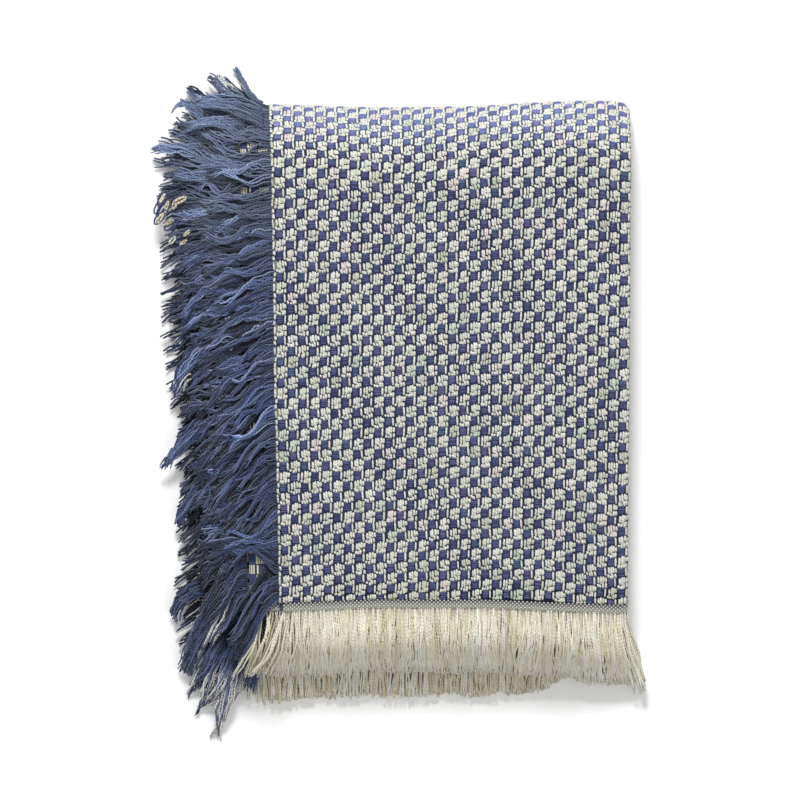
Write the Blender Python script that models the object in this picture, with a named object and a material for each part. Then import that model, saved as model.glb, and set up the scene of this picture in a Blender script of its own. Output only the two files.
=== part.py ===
"""Folded woven throw: one cloth folded in half twice each way, with a yarn fringe on all four edges."""

import math

import bmesh
import bpy

# Driving sizes in millimetres, with the cloth lying on its back: X to the side fold, Y to the top fold, Z up
MM = 0.001
CLOTH_THICKNESS = 3.0
LAYER_GAP = 0.6
EDGE_GAP = 0.3

# The fold across the width: both long edges lie at the left, one further out than the other
OVER_EDGE_X = -109.0
UNDER_EDGE_X = -139.2
SIDE_FOLD_X = -119.0
RIGHT_TURN_X = 197.6
SIDE_STRETCH = 3.0

# The fold along the length: both ends lie at the bottom, one further down than the other
OVER_END_Y = -162.4
UNDER_END_Y = -187.0
END_FOLD_Y = -168.0
TOP_TURN_Y = 239.5
TOP_STRETCH = 8.0

# How finely the folds are rounded, and how near a fold a station may come
ACROSS_TURN_STEPS = 6
ALONG_TURN_STEPS = 8
NEAR_TURN_STEPS = 4
STATION_MARGIN = 1.0

# Woven edges that hold the fringe, and the fringe itself
SIDE_BAND_WIDTH = 4.5
END_BAND_WIDTH = 8.5
SIDE_LOCK_PITCH = 24.0
END_LOCK_PITCH = 23.0
SIDE_FRINGE_LENGTH = 87.0
END_FRINGE_LENGTH = 66.0
SWEEP_START = 12.0

# Colours as red, green and blue from 0 to 1
WOVEN_COLOUR = (0.42, 0.43, 0.47)
BLUE_COLOUR = (0.085, 0.13, 0.28)
CREAM_COLOUR = (0.66, 0.6, 0.45)
YARN_ROUGHNESS = 0.95

LAYER_PITCH = CLOTH_THICKNESS + LAYER_GAP
STRIP_THICKNESS = 3 * LAYER_PITCH + CLOTH_THICKNESS
STRIP_PITCH = STRIP_THICKNESS + LAYER_GAP
UNDER_END_BASE = 2 * STRIP_PITCH

# How the whole pile leans, in millimetres sideways for each millimetre up
LEAN_X = 0.04
LEAN_Y = -0.3

# Across the pile: x, how far the hem and the top fold bow up, and the share of the full height,
# in the upper half and at the bottom end, where the upper layers step down
ACROSS_COLUMNS = ("x", "hem_rise", "top_rise", "height_upper", "height_lower")
ACROSS = (
    (-109.0, 0.0, 0.0, 1.0, 1.0),
    (-20.0, 4.0, -2.5, 1.0, 1.0),
    (70.0, 3.5, -1.5, 1.0, 1.0),
    (135.0, 1.0, 2.5, 1.0, 1.0),
    (172.0, -1.5, 4.0, 0.98, 0.88),
    (197.6, -2.5, 3.0, 0.88, 0.8),
    (212.0, -2.5, 1.5, 0.78, 0.72),
)

# Along the pile: y, how far the left and right edges shift, the share of the full height,
# and how much of the hem's bow, the top fold's bow and the lower step is felt there
ALONG_COLUMNS = ("y", "left_shift", "right_shift", "height", "hem_weight", "top_weight", "step_weight")
ALONG = (
    (-187.0, 4.5, -1.4, 1.0, 1.0, 0.0, 1.0),
    (-90.0, 2.4, -1.0, 1.0, 0.5, 0.0, 0.7),
    (30.0, -1.2, 0.0, 1.0, 0.0, 0.0, 0.0),
    (140.0, -2.5, 0.8, 1.0, 0.0, 0.2, 0.0),
    (222.0, -4.0, 1.2, 1.0, 0.0, 0.7, 0.0),
    (239.5, -4.6, 1.3, 0.93, 0.0, 0.8, 0.0),
    (276.0, -5.4, 1.4, 0.62, 0.0, 1.0, 0.0),
)

# How the blue fringe sweeps: place of its root along the edge, and sideways travel for each unit out,
# on the upper edge and the one further out. Locks low in the pile are pressed flat and sweep less
SIDE_SWEEP_COLUMNS = ("y", "over", "under", "pressed", "length")
SIDE_SWEEP = (
    (-190.0, 1.6, 3.6, 0.8, 1.62),
    (-165.0, 1.5, 2.5, 0.78, 1.2),
    (-140.0, 1.4, 1.8, 0.84, 1.0),
    (-60.0, 1.15, 1.2, 0.95, 0.9),
    (30.0, 0.9, 0.9, 0.8, 0.86),
    (140.0, 0.5, 0.5, 0.42, 0.88),
    (215.0, 0.12, 0.12, 0.12, 0.9),
    (245.0, -0.12, -0.12, -0.12, 0.84),
    (262.0, -0.45, -0.45, -0.45, 0.74),
    (280.0, -0.8, -0.8, -0.8, 0.64),
)

# How the cream fringe sweeps: place of its root across the end, and sideways travel for each unit out
END_SWEEP_COLUMNS = ("x", "sweep")
END_SWEEP = (
    (-145.0, -0.16),
    (-90.0, -0.05),
    (0.0, 0.02),
    (120.0, -0.02),
    (185.0, 0.1),
    (212.0, 0.38),
)

# Where the fringe comes to lie: height in the pile at the root, and height at the tips,
# for the blue locks and for the cream ones
SETTLE_COLUMNS = ("root_z", "blue_z", "cream_z")
SETTLE = (
    (0.0, 0.0, 0.0),
    (3.0, 2.3, 0.0),
    (3.6, 2.8, 0.0),
    (6.6, 5.1, 0.0),
    (21.6, 7.4, 0.0),
    (24.6, 9.4, 0.0),
    (28.8, 12.4, 0.0),
    (35.4, 17.0, 5.4),
    (50.4, 20.4, 17.6),
    (57.0, 25.2, 23.0),
)
CREAM_SIDE_X = -128.0
BLUE_SIDE_X = -160.0

# How soon it comes to lie there: distance beyond the cloth below, and share of the way down
FALL_COLUMNS = ("distance", "share")
FALL = (
    (0.0, 0.0),
    (16.0, 0.25),
    (34.0, 0.72),
    (50.0, 1.0),
)

# Each lock narrows from its root to its tip: share of its reach, of the root's width and of its thickness
LOCK_COLUMNS = ("out", "width", "thickness")
LOCK_TAPER = (
    (0.0, 1.0, 1.0),
    (0.25, 0.56, 0.86),
    (0.7, 0.42, 0.7),
    (1.0, 0.3, 0.5),
)
LAST_RING = 3.0
SHORTEST_ROOT = 2.4
LENGTH_SCATTER = 0.07
SIDEWAYS_SCATTER = 3.5
PRESSED_LENGTH = 0.84


def column(table, names, wanted, place):
    """The named column of a table at a place in its first column, straight between rows."""
    index = names.index(wanted)
    if place <= table[0][0]:
        return table[0][index]
    for low, high in zip(table, table[1:]):
        if place <= high[0]:
            share = (place - low[0]) / (high[0] - low[0])
            return low[index] + share * (high[index] - low[index])
    return table[-1][index]


def smooth(share):
    """0 to 1 with level ends."""
    share = min(1.0, max(0.0, share))
    return share * share * (3 - 2 * share)


def lying(x, y, z):
    """A point of the squarely folded pile, moved to where it lies on the uneven one."""
    left_shift = column(ALONG, ALONG_COLUMNS, "left_shift", y)
    right_shift = column(ALONG, ALONG_COLUMNS, "right_shift", y)
    share = min(1.0, max(0.0, (x - UNDER_EDGE_X) / (RIGHT_TURN_X - UNDER_EDGE_X)))
    hem = column(ACROSS, ACROSS_COLUMNS, "hem_rise", x) * column(ALONG, ALONG_COLUMNS, "hem_weight", y)
    top = column(ACROSS, ACROSS_COLUMNS, "top_rise", x) * column(ALONG, ALONG_COLUMNS, "top_weight", y)
    step = column(ALONG, ALONG_COLUMNS, "step_weight", y)
    upper = column(ACROSS, ACROSS_COLUMNS, "height_upper", x)
    lower = column(ACROSS, ACROSS_COLUMNS, "height_lower", x)
    across_height = upper + step * (lower - upper)
    along_height = column(ALONG, ALONG_COLUMNS, "height", y)
    height = z * (1 - math.hypot(1 - across_height, 1 - along_height))
    return (
        x + left_shift + share * (right_shift - left_shift) + LEAN_X * height,
        y + hem + top + LEAN_Y * height,
        height,
    )


def folded_section(pitch, over_end, under_end, near_turn, far_turn, stretches, stations, turn_steps):
    """A cloth folded in half twice, seen end on: place, height, the way its front faces, and
    whether the stretch up to the next row is a run, an outer turn or an inner one.
    It runs from the upper end to the far turn, back underneath, round the near turn,
    out to the inner far turn and back to the under end."""
    far_stretch, near_stretch = stretches
    middle = 1.5 * pitch
    rows = []

    def straight(start, end, height, facing, next_kind):
        low, high = min(start, end) + STATION_MARGIN, max(start, end) - STATION_MARGIN
        inner = [s for s in stations if low < s < high]
        for place in [start] + sorted(inner, reverse=end < start):
            rows.append((place, height, 0.0, facing, "run"))
        rows.append((end, height, 0.0, facing, next_kind))

    def turn(place, height, radius, angles, steps, reach, facing):
        kind = rows[-1][4]
        first, last = angles
        for step in range(1, steps):
            angle = math.radians(first + (last - first) * step / steps)
            across, up = math.cos(angle), math.sin(angle)
            here = (place + (reach + radius) * across, height + radius * up)
            rows.append((*here, facing * across, facing * up, kind))

    straight(over_end, far_turn, 3 * pitch, 1.0, "outer")
    turn(far_turn, middle, 1.5 * pitch, (90, -90), turn_steps, far_stretch, 1.0)
    straight(far_turn, near_turn, 0.0, -1.0, "outer")
    turn(near_turn, 0.5 * pitch, 0.5 * pitch, (-90, -270), NEAR_TURN_STEPS, near_stretch, 1.0)
    straight(near_turn, far_turn, pitch, 1.0, "inner")
    turn(far_turn, middle, 0.5 * pitch, (-90, 90), turn_steps, far_stretch, -1.0)
    straight(far_turn, under_end, 2 * pitch, -1.0, "end")
    return rows


def across_rows():
    """The fold across the width. Heights are of the layer's middle above the strip's back."""
    stations = [row[0] for row in ACROSS if row[0] < RIGHT_TURN_X]
    rows = folded_section(
        LAYER_PITCH, OVER_EDGE_X, UNDER_EDGE_X, SIDE_FOLD_X, RIGHT_TURN_X,
        (SIDE_STRETCH, SIDE_STRETCH), stations, ACROSS_TURN_STEPS,
    )
    return [(x, height + CLOTH_THICKNESS / 2, nx, nz, kind) for x, height, nx, nz, kind in rows]


def along_rows():
    """The fold along the length. Heights are of the four-layer strip's middle above the floor."""
    stations = [row[0] for row in ALONG if UNDER_END_Y < row[0] < TOP_TURN_Y]
    rows = folded_section(
        STRIP_PITCH, OVER_END_Y, UNDER_END_Y, END_FOLD_Y, TOP_TURN_Y,
        (TOP_STRETCH, SIDE_STRETCH), stations, ALONG_TURN_STEPS,
    )
    return [(y, height + STRIP_THICKNESS / 2, ny, nz, kind) for y, height, ny, nz, kind in rows]


def placed(row, height):
    """A height above the strip's back, carried round the fold along the length."""
    y, middle, ny, nz = row[:4]
    offset = height - STRIP_THICKNESS / 2
    return y + ny * offset, middle + nz * offset


def make_object(name, points, faces, colour):
    """One closed body from points in millimetres, with a cloth material of its own."""
    mesh = bpy.data.meshes.new(name)
    mesh.from_pydata([tuple(MM * value for value in lying(*point)) for point in points], [], faces)
    shell = bmesh.new()
    shell.from_mesh(mesh)
    bmesh.ops.recalc_face_normals(shell, faces=shell.faces)
    shell.to_mesh(mesh)
    shell.free()
    body = bpy.data.objects.new(name, mesh)
    bpy.context.scene.collection.objects.link(body)
    material = bpy.data.materials.new(name)
    material.use_nodes = True
    shader = material.node_tree.nodes["Principled BSDF"]
    shader.inputs["Base Color"].default_value = (*colour, 1.0)
    shader.inputs["Roughness"].default_value = YARN_ROUGHNESS
    mesh.materials.append(material)
    return body


def woven_cloth():
    """The whole cloth as one sheet: front and back of every layer, closed round its four edges."""
    across = across_rows()
    along = along_rows()
    points = []
    for side in (CLOTH_THICKNESS / 2, -CLOTH_THICKNESS / 2):
        for row in along:
            for x, height, nx, nz, _ in across:
                y, z = placed(row, height + nz * side)
                points.append((x + nx * side, y, z))
    width = len(across)
    back = len(across) * len(along)
    faces = []
    for j in range(len(along) - 1):
        for i in range(width - 1):
            a = j * width + i
            front = (a, a + width, a + width + 1, a + 1)
            faces.append(front)
            faces.append(tuple(back + corner for corner in reversed(front)))
    rim = list(range(width))
    rim += [j * width + width - 1 for j in range(1, len(along))]
    rim += [(len(along) - 1) * width + i for i in range(width - 2, -1, -1)]
    rim += [j * width for j in range(len(along) - 2, 0, -1)]
    for a, b in zip(rim, rim[1:] + rim[:1]):
        faces.append((a, b, back + b, back + a))
    return make_object("woven_cloth", points, faces, WOVEN_COLOUR)


def spaced(rows, pitch):
    """The rows of a section with roots about one pitch apart on its runs, and on every other
    step of its outer turns. Each row says whether a lock starts between it and the next."""
    result = []
    steps = 0
    for low, high in zip(rows, rows[1:]):
        length = math.hypot(high[0] - low[0], high[1] - low[1])
        if low[4] == "run":
            steps = 0
            count = max(1, round(length / pitch))
            for step in range(count):
                share = step / count
                between = tuple(a + share * (b - a) for a, b in zip(low[:4], high[:4]))
                result.append((between, True))
            continue
        steps += 1
        result.append((low[:4], low[4] == "outer" and steps % 2 == 0 and length > SHORTEST_ROOT))
    result.append((rows[-1][:4], False))
    return result


def beyond_cloth(x, y):
    """How far a place is beyond the lower of the woven edges, to the left or below."""
    out_left = max(0.0, UNDER_EDGE_X - EDGE_GAP - SIDE_BAND_WIDTH - x)
    out_below = max(0.0, UNDER_END_Y - EDGE_GAP - END_BAND_WIDTH - y)
    return math.hypot(out_left, out_below)


def settled(x, y, z):
    """Height of a fringe point: level beside the pile, then down to where the locks lie."""
    share = column(FALL, FALL_COLUMNS, "share", beyond_cloth(x, y))
    blue = column(SETTLE, SETTLE_COLUMNS, "blue_z", z)
    cream = column(SETTLE, SETTLE_COLUMNS, "cream_z", z)
    cream_share = smooth((x - BLUE_SIDE_X) / (CREAM_SIDE_X - BLUE_SIDE_X))
    low = blue + cream_share * (cream - blue)
    return z + share * (low - z)


def pressed(y, z):
    """Whether a blue lock lies under the lower half of the pile."""
    return z < UNDER_END_BASE and y < TOP_TURN_Y


def side_travel(y, z, out, kind):
    """How far a blue lock has gone down the page once it is this far out from its edge."""
    if pressed(y, z):
        kind = "pressed"
    return column(SIDE_SWEEP, SIDE_SWEEP_COLUMNS, kind, y) * out * out / (out + SWEEP_START)


def end_travel(x, out):
    """How far a cream lock has gone sideways once it is this far out from its end."""
    return column(END_SWEEP, END_SWEEP_COLUMNS, "sweep", x) * out * out / (out + SWEEP_START)


def out_at(path, distance, furthest):
    """How far out a path gets this far beyond the cloth, or None if it ends before that."""
    out = 0.0
    near = beyond_cloth(*path(out)[:2])
    while out < furthest:
        far = beyond_cloth(*path(out + 1.0)[:2])
        if near <= distance < far:
            return out + (distance - near) / (far - near)
        out += 1.0
        near = far
    return None


def reach_of(path, length):
    """How far out from the edge a path goes before it has this length."""
    out = 0.0
    gone = 0.0
    last = path(out)
    while gone < length:
        out += 1.0
        here = path(out)
        gone += math.dist(last, here)
        last = here
    return out


def unevenness(index):
    """A fixed scatter between -1 and 1 for each lock."""
    value = math.sin(12.9898 * (index + 1)) * 43758.5453
    return 2 * (value - math.floor(value)) - 1


def fringe(name, sections, root_point, flow, length_at, colour):
    """A narrow woven band along an edge with a tapered lock from each root face.
    Each section holds the band's four corners: inner front, inner back, outer back, outer front."""
    points = []
    faces = []
    for corners, _ in sections:
        points.extend(corners)
    faces.append((0, 1, 2, 3))
    last = 4 * (len(sections) - 1)
    faces.append((last + 3, last + 2, last + 1, last))
    for k in range(len(sections) - 1):
        a = 4 * k
        b = a + 4
        faces.append((a + 1, a, b, b + 1))
        faces.append((a + 2, a + 1, b + 1, b + 2))
        faces.append((a, a + 3, b + 3, b))
        root = (a + 3, a + 2, b + 2, b + 3)
        if not sections[k][1]:
            faces.append(root)
            continue
        corners = [root_point(points[corner]) for corner in root]
        width, height = (sum(corner[n] for corner in corners) / 4 for n in (0, 1))
        lock_length = length_at(width, height) * (1 + LENGTH_SCATTER * unevenness(k))
        aside = SIDEWAYS_SCATTER * unevenness(k + len(sections))
        reach = reach_of(lambda out: flow(width, height, out, aside), lock_length)
        ring = root
        for distance, _ in FALL:
            middle = out_at(lambda out: flow(width, height, out, aside), distance, reach)
            if middle is None or not LAST_RING < middle < reach - LAST_RING:
                continue
            wide = column(LOCK_TAPER, LOCK_COLUMNS, "width", middle / reach)
            thick = column(LOCK_TAPER, LOCK_COLUMNS, "thickness", middle / reach)
            start = len(points)
            for corner in range(4):
                here = corners[corner]
                mate = corners[corner ^ 1]
                side = [(h + m) / 2 for h, m in zip(here, mate)]
                place = [
                    centre + wide * (s - centre) + thick * (h - s)
                    for centre, s, h in zip((width, height), side, here)
                ]
                out = out_at(lambda out: flow(*place, out, aside), distance, 2 * reach)
                points.append(flow(*place, out, aside))
            new_ring = tuple(range(start, start + 4))
            for c in range(4):
                d = (c + 1) % 4
                faces.append((ring[c], ring[d], new_ring[d], new_ring[c]))
            ring = new_ring
        tip = len(points)
        points.append(flow(width, height, reach, aside))
        for c in range(4):
            faces.append((ring[c], ring[(c + 1) % 4], tip))
    return make_object(name, points, faces, colour)


def side_fringe(name, edge_x, layer_middle, kind):
    """The blue fringe along a long edge, which follows the fold along the length."""
    root_x = edge_x - EDGE_GAP - SIDE_BAND_WIDTH
    half = CLOTH_THICKNESS / 2
    sections = []
    for row, lock in spaced(along_rows(), SIDE_LOCK_PITCH):
        front_y, front_z = placed(row, layer_middle + half)
        back_y, back_z = placed(row, layer_middle - half)
        corners = (
            (edge_x - EDGE_GAP, front_y, front_z),
            (edge_x - EDGE_GAP, back_y, back_z),
            (root_x, back_y, back_z),
            (root_x, front_y, front_z),
        )
        sections.append((corners, lock))

    def flow(y, z, out, aside):
        x = root_x - out
        new_y = y - side_travel(y, z, out, kind) + aside * smooth(out / SIDE_FRINGE_LENGTH)
        return x, new_y, settled(x, new_y, z)

    def length_at(y, z):
        share = column(SIDE_SWEEP, SIDE_SWEEP_COLUMNS, "length", y)
        return SIDE_FRINGE_LENGTH * (min(share, PRESSED_LENGTH) if pressed(y, z) else share)

    return fringe(name, sections, lambda p: (p[1], p[2]), flow, length_at, BLUE_COLOUR)


def end_fringe(name, end_y, along_row):
    """The cream fringe along an end, which follows the fold across the width."""
    root_y = end_y - EDGE_GAP - END_BAND_WIDTH
    half = CLOTH_THICKNESS / 2
    sections = []
    for (x, height, nx, nz), lock in spaced(across_rows(), END_LOCK_PITCH):
        _, front_z = placed(along_row, height + nz * half)
        _, back_z = placed(along_row, height - nz * half)
        corners = (
            (x - nx * half, end_y - EDGE_GAP, back_z),
            (x + nx * half, end_y - EDGE_GAP, front_z),
            (x + nx * half, root_y, front_z),
            (x - nx * half, root_y, back_z),
        )
        sections.append((corners, lock))

    def flow(x, z, out, aside):
        y = root_y - out
        new_x = x + end_travel(x, out) + aside * smooth(out / END_FRINGE_LENGTH)
        return new_x, y, settled(new_x, y, z)

    def length_at(x, z):
        return END_FRINGE_LENGTH

    return fringe(name, sections, lambda p: (p[0], p[2]), flow, length_at, CREAM_COLOUR)


def centre_on_floor(bodies):
    """Put the origin at the middle of the pile's box, on the floor."""
    corners = [vertex.co for body in bodies for vertex in body.data.vertices]
    middle_x = (min(c.x for c in corners) + max(c.x for c in corners)) / 2
    middle_y = (min(c.y for c in corners) + max(c.y for c in corners)) / 2
    for body in bodies:
        for vertex in body.data.vertices:
            vertex.co.x -= middle_x
            vertex.co.y -= middle_y


for old in list(bpy.data.objects):
    bpy.data.objects.remove(old, do_unlink=True)

ALONG_ROWS = along_rows()
OVER_LAYER = STRIP_THICKNESS - CLOTH_THICKNESS / 2
UNDER_LAYER = OVER_LAYER - LAYER_PITCH
centre_on_floor([
    woven_cloth(),
    side_fringe("side_fringe_over", OVER_EDGE_X, OVER_LAYER, "over"),
    side_fringe("side_fringe_under", UNDER_EDGE_X, UNDER_LAYER, "under"),
    end_fringe("end_fringe_over", OVER_END_Y, ALONG_ROWS[0]),
    end_fringe("end_fringe_under", UNDER_END_Y, ALONG_ROWS[-1]),
])
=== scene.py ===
import math

import bpy
import numpy as np
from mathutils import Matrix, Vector


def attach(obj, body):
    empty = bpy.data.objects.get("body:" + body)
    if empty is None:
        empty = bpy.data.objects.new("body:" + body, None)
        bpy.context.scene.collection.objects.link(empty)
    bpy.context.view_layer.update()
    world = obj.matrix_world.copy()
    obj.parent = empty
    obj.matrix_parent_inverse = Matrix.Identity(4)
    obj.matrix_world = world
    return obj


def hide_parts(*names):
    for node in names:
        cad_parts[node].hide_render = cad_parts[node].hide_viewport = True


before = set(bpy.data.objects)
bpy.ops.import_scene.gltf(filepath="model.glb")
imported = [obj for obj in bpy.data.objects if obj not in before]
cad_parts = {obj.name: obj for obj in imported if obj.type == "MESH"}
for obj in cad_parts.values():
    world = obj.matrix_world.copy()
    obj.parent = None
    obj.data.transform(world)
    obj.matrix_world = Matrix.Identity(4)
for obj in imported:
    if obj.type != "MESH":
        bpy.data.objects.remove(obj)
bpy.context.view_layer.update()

# Camera, light and floor
# The photograph looks straight down on the throw from well above, in soft light from the upper left.
MM = 0.001
PIXEL_MM = 0.9
PICTURE_PIXELS = 800
SENSOR_WIDTH = 36.0
FARTHEST_SEEN = 50.0
CAMERA_HEIGHT = 6.0
FACE_HEIGHT = 0.055
VIEW_CENTRE = (0.0022, 0.0018)
FLOOR_SIZE = 9.0
PAPER_COLOUR = (0.93, 0.93, 0.93, 1.0)
PAPER = {
    "Base Color": PAPER_COLOUR,
    "Roughness": 0.9,
    "Specular IOR Level": 0.1,
    "Emission Color": PAPER_COLOUR,
    "Emission Strength": 0.07,
}
SKY = {"Color": (1.0, 1.0, 1.0, 1.0), "Strength": 0.44}
# Each light is a row: its name, its place and its size in metres, and its power.
LIGHTS = (
    ("key", (-0.25, 2.2, 2.4), 0.75, 86.0),
    ("fill", (0.9, -0.6, 2.8), 2.2, 16.0),
)


def set_values(node, values):
    """Gives a shader node's inputs their values, by name."""
    for name, value in values.items():
        node.inputs[name].default_value = value


def make_stage():
    camera_data = bpy.data.cameras.new("camera")
    camera_data.sensor_width = SENSOR_WIDTH
    camera_data.lens = SENSOR_WIDTH * (CAMERA_HEIGHT - FACE_HEIGHT) / (PICTURE_PIXELS * PIXEL_MM * MM)
    camera_data.clip_end = FARTHEST_SEEN
    camera = bpy.data.objects.new("camera", camera_data)
    camera.location = (*VIEW_CENTRE, CAMERA_HEIGHT)
    bpy.context.scene.collection.objects.link(camera)
    bpy.context.scene.camera = camera

    floor_mesh = bpy.data.meshes.new("floor")
    half = FLOOR_SIZE / 2
    corners = [(-half, -half, 0), (half, -half, 0), (half, half, 0), (-half, half, 0)]
    floor_mesh.from_pydata(corners, [], [(0, 1, 2, 3)])
    floor = bpy.data.objects.new("floor", floor_mesh)
    bpy.context.scene.collection.objects.link(floor)
    paper = bpy.data.materials.new("paper")
    paper.use_nodes = True
    set_values(paper.node_tree.nodes["Principled BSDF"], PAPER)
    floor_mesh.materials.append(paper)

    for name, place, size, power in LIGHTS:
        data = bpy.data.lights.new(name, "AREA")
        data.size = size
        data.energy = power
        lamp = bpy.data.objects.new(name, data)
        lamp.location = place
        lamp.rotation_euler = (-Vector(place)).to_track_quat("-Z", "Y").to_euler()
        bpy.context.scene.collection.objects.link(lamp)
    world = bpy.data.worlds.new("soft light")
    world.use_nodes = True
    set_values(world.node_tree.nodes["Background"], SKY)
    bpy.context.scene.world = world
    bpy.context.scene.view_settings.view_transform = "Standard"


make_stage()

# The woven cloth
# One chunky cotton cloth, cream warp floats over navy weft, folded in half twice each way into a pile.
# It is laid squarely first, in millimetres, and then each point is moved to where it lies.
CLOTH_THICKNESS = 3.0
SHEET_THICKNESS = 2.4
LAYER_PITCH = 3.6
EDGE_GAP = 0.3
STRIP_THICKNESS = 3 * LAYER_PITCH + CLOTH_THICKNESS
LAYER_GAP = LAYER_PITCH - CLOTH_THICKNESS
STRIP_PITCH = STRIP_THICKNESS + LAYER_GAP
OVER_EDGE_X = -109.0
UNDER_EDGE_X = -139.2
SIDE_FOLD_X = -119.0
RIGHT_TURN_X = 197.6
OVER_END_Y = -162.4
UNDER_END_Y = -187.0
END_FOLD_Y = -168.0
TOP_TURN_Y = 239.5
SIDE_STRETCH = 3.0
TOP_STRETCH = 8.0
LEAN_X = 0.04
LEAN_Y = -0.3
PILE_MIDDLE = np.array((-0.247, 1.672, 0.0))
REPEAT_WIDTH = 19.2
ROW_HEIGHT = 9.36
REPEAT_START = -0.013
DEEP_NAVY = (43, 45, 72)
TOP_LIT_NAVY = (92, 97, 128)
TOP_LIT_ROW = 44.0
TOP_LIT_ROWS = 5.0
PALE_NAVY = (66, 72, 116)
CREAM = (226, 224, 204)
# The weave's repeat, in shares of its width: the end of the block of four cream yarns, then the middle
# and half the width of the single cream yarn and of the blue square.
BLOCK_END = 0.47
BLOCK_YARNS = 4
SINGLE_YARN = (0.865, 0.055)
BLUE_SQUARE = (0.645, 0.15)
ROW_BODY = 0.43
# Soft unevenness of the pile, in shares of its height: two swells with their spacing in millimetres, and
# how far the pile is pressed down.
SWELL = 0.01
SWELL_SPACING = (31.0, 43.0)
RIPPLE = 0.008
RIPPLE_SPACING = (17.0, 26.0)
PRESSED_DOWN = 0.018

# How far the edges bow and shift, in millimetres, and how high the pile stands, as a share, across it
# and along it. A weight says how far a value of the other table counts there.
ACROSS = {
    "x": (-109.0, -20.0, 70.0, 135.0, 172.0, 197.6, 212.0),
    "hem_rise": (0.0, 4.0, 3.5, 1.0, -3.0, -6.0, -6.5),
    "top_rise": (0.0, -2.5, -1.5, 2.5, 4.0, 3.0, 1.5),
    "height_upper": (1.0, 1.0, 1.0, 1.0, 0.98, 0.88, 0.78),
    "height_lower": (1.0, 1.0, 1.0, 1.0, 0.88, 0.8, 0.72),
}
ALONG = {
    "y": (-187.0, -90.0, 30.0, 140.0, 222.0, 239.5, 276.0),
    "left_shift": (4.5, 2.4, -1.2, -2.5, -4.0, -4.6, -5.4),
    "right_shift": (-1.4, -1.0, 0.0, 0.8, 1.2, 1.3, 1.4),
    "height": (1.0, 1.0, 1.0, 1.0, 1.0, 0.93, 0.62),
    "hem_weight": (1.0, 0.5, 0.0, 0.0, 0.0, 0.0, 0.0),
    "top_weight": (0.0, 0.0, 0.0, 0.2, 0.7, 0.8, 1.0),
    "step_weight": (1.0, 0.7, 0.0, 0.0, 0.0, 0.0, 0.0),
}
# How far the rows of the weave hang down, against the middle right of the face, across it and at six
# places along it.
SAG = {
    "x": (-102.0, -48.0, -12.0, 6.0, 42.0, 78.0, 132.0, 168.0, 186.0, 204.0),
    238: (0.0, 1.4, 5.2, 5.9, 2.3, 0.0, -0.5, -0.6, 0.7, 4.1),
    184: (0.1, 2.2, 4.7, 4.5, 2.3, 0.0, -0.6, 0.0, 1.9, 3.9),
    94: (2.3, 2.0, 2.5, 2.3, 1.1, 0.0, -0.6, 1.0, 3.3, 5.2),
    4: (3.8, 3.0, 1.4, 1.1, 0.7, 0.0, -0.1, 2.3, 4.5, 5.8),
    -86: (5.9, 3.8, 2.8, 2.2, 0.3, 0.0, 0.5, 4.0, 6.3, 7.5),
    -158: (6.4, 5.1, 4.3, 2.9, 1.4, 0.0, 0.6, 5.5, 8.3, 8.7),
}
SAG_MIDDLE_X = 78.0
# How much further the weave runs round the soft top roll than along its plain curve, since the rows in
# the photograph lie closer there. The sheet's flat size leaves it out.
TOP_GATHER = {
    "y": (226.0, 236.0, 249.0, 260.0, 269.0, 276.0),
    "extra": (0.0, 0.8, 5.4, 13.2, 21.5, 28.5),
}


def column(table, name, place):
    """A column of a table at places in its first column, straight between rows."""
    return np.interp(place, next(iter(table.values())), table[name])


def smooth(share):
    """0 to 1 with level ends."""
    share = np.clip(share, 0.0, 1.0)
    return share * share * (3 - 2 * share)


def lying(points):
    """Points of the squarely folded pile in millimetres, moved to where they lie, in metres."""
    x, y, z = points[..., 0], points[..., 1], points[..., 2]
    left = column(ALONG, "left_shift", y)
    right = column(ALONG, "right_shift", y)
    share = np.clip((x - UNDER_EDGE_X) / (RIGHT_TURN_X - UNDER_EDGE_X), 0, 1)
    bow = column(ACROSS, "hem_rise", x) * column(ALONG, "hem_weight", y)
    bow = bow + column(ACROSS, "top_rise", x) * column(ALONG, "top_weight", y)
    upper = column(ACROSS, "height_upper", x)
    across = upper + column(ALONG, "step_weight", y) * (column(ACROSS, "height_lower", x) - upper)
    soft = SWELL * np.sin(x / SWELL_SPACING[0] + 1.3) * np.sin(y / SWELL_SPACING[1])
    soft = soft + RIPPLE * np.sin(x / RIPPLE_SPACING[0] + y / RIPPLE_SPACING[1])
    height = z * (1 - np.hypot(1 - across, 1 - column(ALONG, "height", y)) + soft - PRESSED_DOWN)
    placed = np.stack((
        x + left + share * (right - left) + LEAN_X * height,
        y + bow + LEAN_Y * height,
        height,
    ), axis=-1)
    return MM * (placed - PILE_MIDDLE)


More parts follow.
